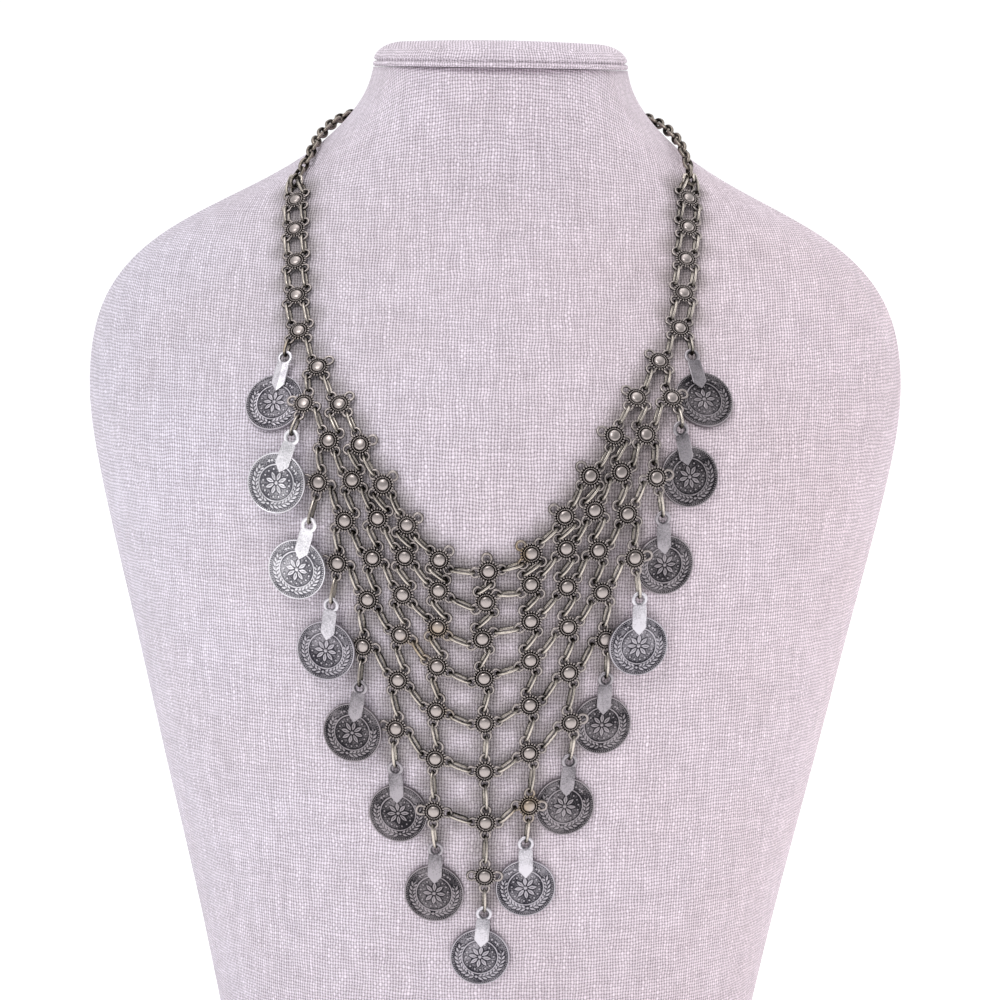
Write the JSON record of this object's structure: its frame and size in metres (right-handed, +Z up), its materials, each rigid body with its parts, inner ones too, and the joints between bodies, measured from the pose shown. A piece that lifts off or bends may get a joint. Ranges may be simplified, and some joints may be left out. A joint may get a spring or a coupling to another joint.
{
  "type": "coin necklace on a linen neck bust",
  "caption": "Silver bib necklace of cast rosettes, oval links and hanging coins, shown on a linen-covered neck bust.",
  "frame": {"origin": "centre of the bust's flat base, on the surface it stands on", "axes": "+Z up the neck, -Y towards the front of the necklace, +X to the right as seen from the front"},
  "size_m": [0.2663, 0.1592, 0.3352],
  "materials": {
    "linen": "plain weave linen, slubbed, pale lilac-ivory",
    "rosette_metal": "cast antique silver, oxidised in the recesses",
    "link_metal": "drawn silver wire, warm tarnish",
    "coin_metal": "struck low-grade silver, dark tarnish with worn relief",
    "chain_metal": "antique silver chain"
  },
  "bodies": {
    "root": {"back_chain_left": "chain_metal", "back_chain_right": "chain_metal", "clasp": "chain_metal", "coin_centre": "coin_metal", "coin_left_1": "coin_metal", "coin_left_2": "coin_metal", "coin_left_3": "coin_metal", "coin_left_4": "coin_metal", "coin_left_5": "coin_metal", "coin_left_6": "coin_metal", "coin_left_7": "coin_metal", "coin_links": "link_metal", "coin_right_1": "coin_metal", "coin_right_2": "coin_metal", "coin_right_3": "coin_metal", "coin_right_4": "coin_metal", "coin_right_5": "coin_metal", "coin_right_6": "coin_metal", "coin_right_7": "coin_metal", "links_between_1_2": "link_metal", "links_between_2_3": "link_metal", "links_between_3_4": "link_metal", "links_between_4_5": "link_metal", "links_between_5_6": "link_metal", "links_between_6_7": "link_metal", "links_between_7_8": "link_metal", "links_string_1": "link_metal", "links_string_2": "link_metal", "links_string_3": "link_metal", "links_string_4": "link_metal", "links_string_5": "link_metal", "links_string_6": "link_metal", "links_string_7": "link_metal", "neck_bust": "linen", "neck_cap": "linen", "rosettes_string_1": "rosette_metal", "rosettes_string_2": "rosette_metal", "rosettes_string_3": "rosette_metal", "rosettes_string_4": "rosette_metal", "rosettes_string_5": "rosette_metal", "rosettes_string_6": "rosette_metal", "rosettes_string_7": "rosette_metal", "rosettes_string_8": "rosette_metal", "strap_links_left": "link_metal", "strap_links_right": "link_metal", "strap_rings_left": "link_metal", "strap_rings_right": "link_metal", "strap_rosettes_left": "rosette_metal", "strap_rosettes_right": "rosette_metal"}
  },
  "joints": []
}
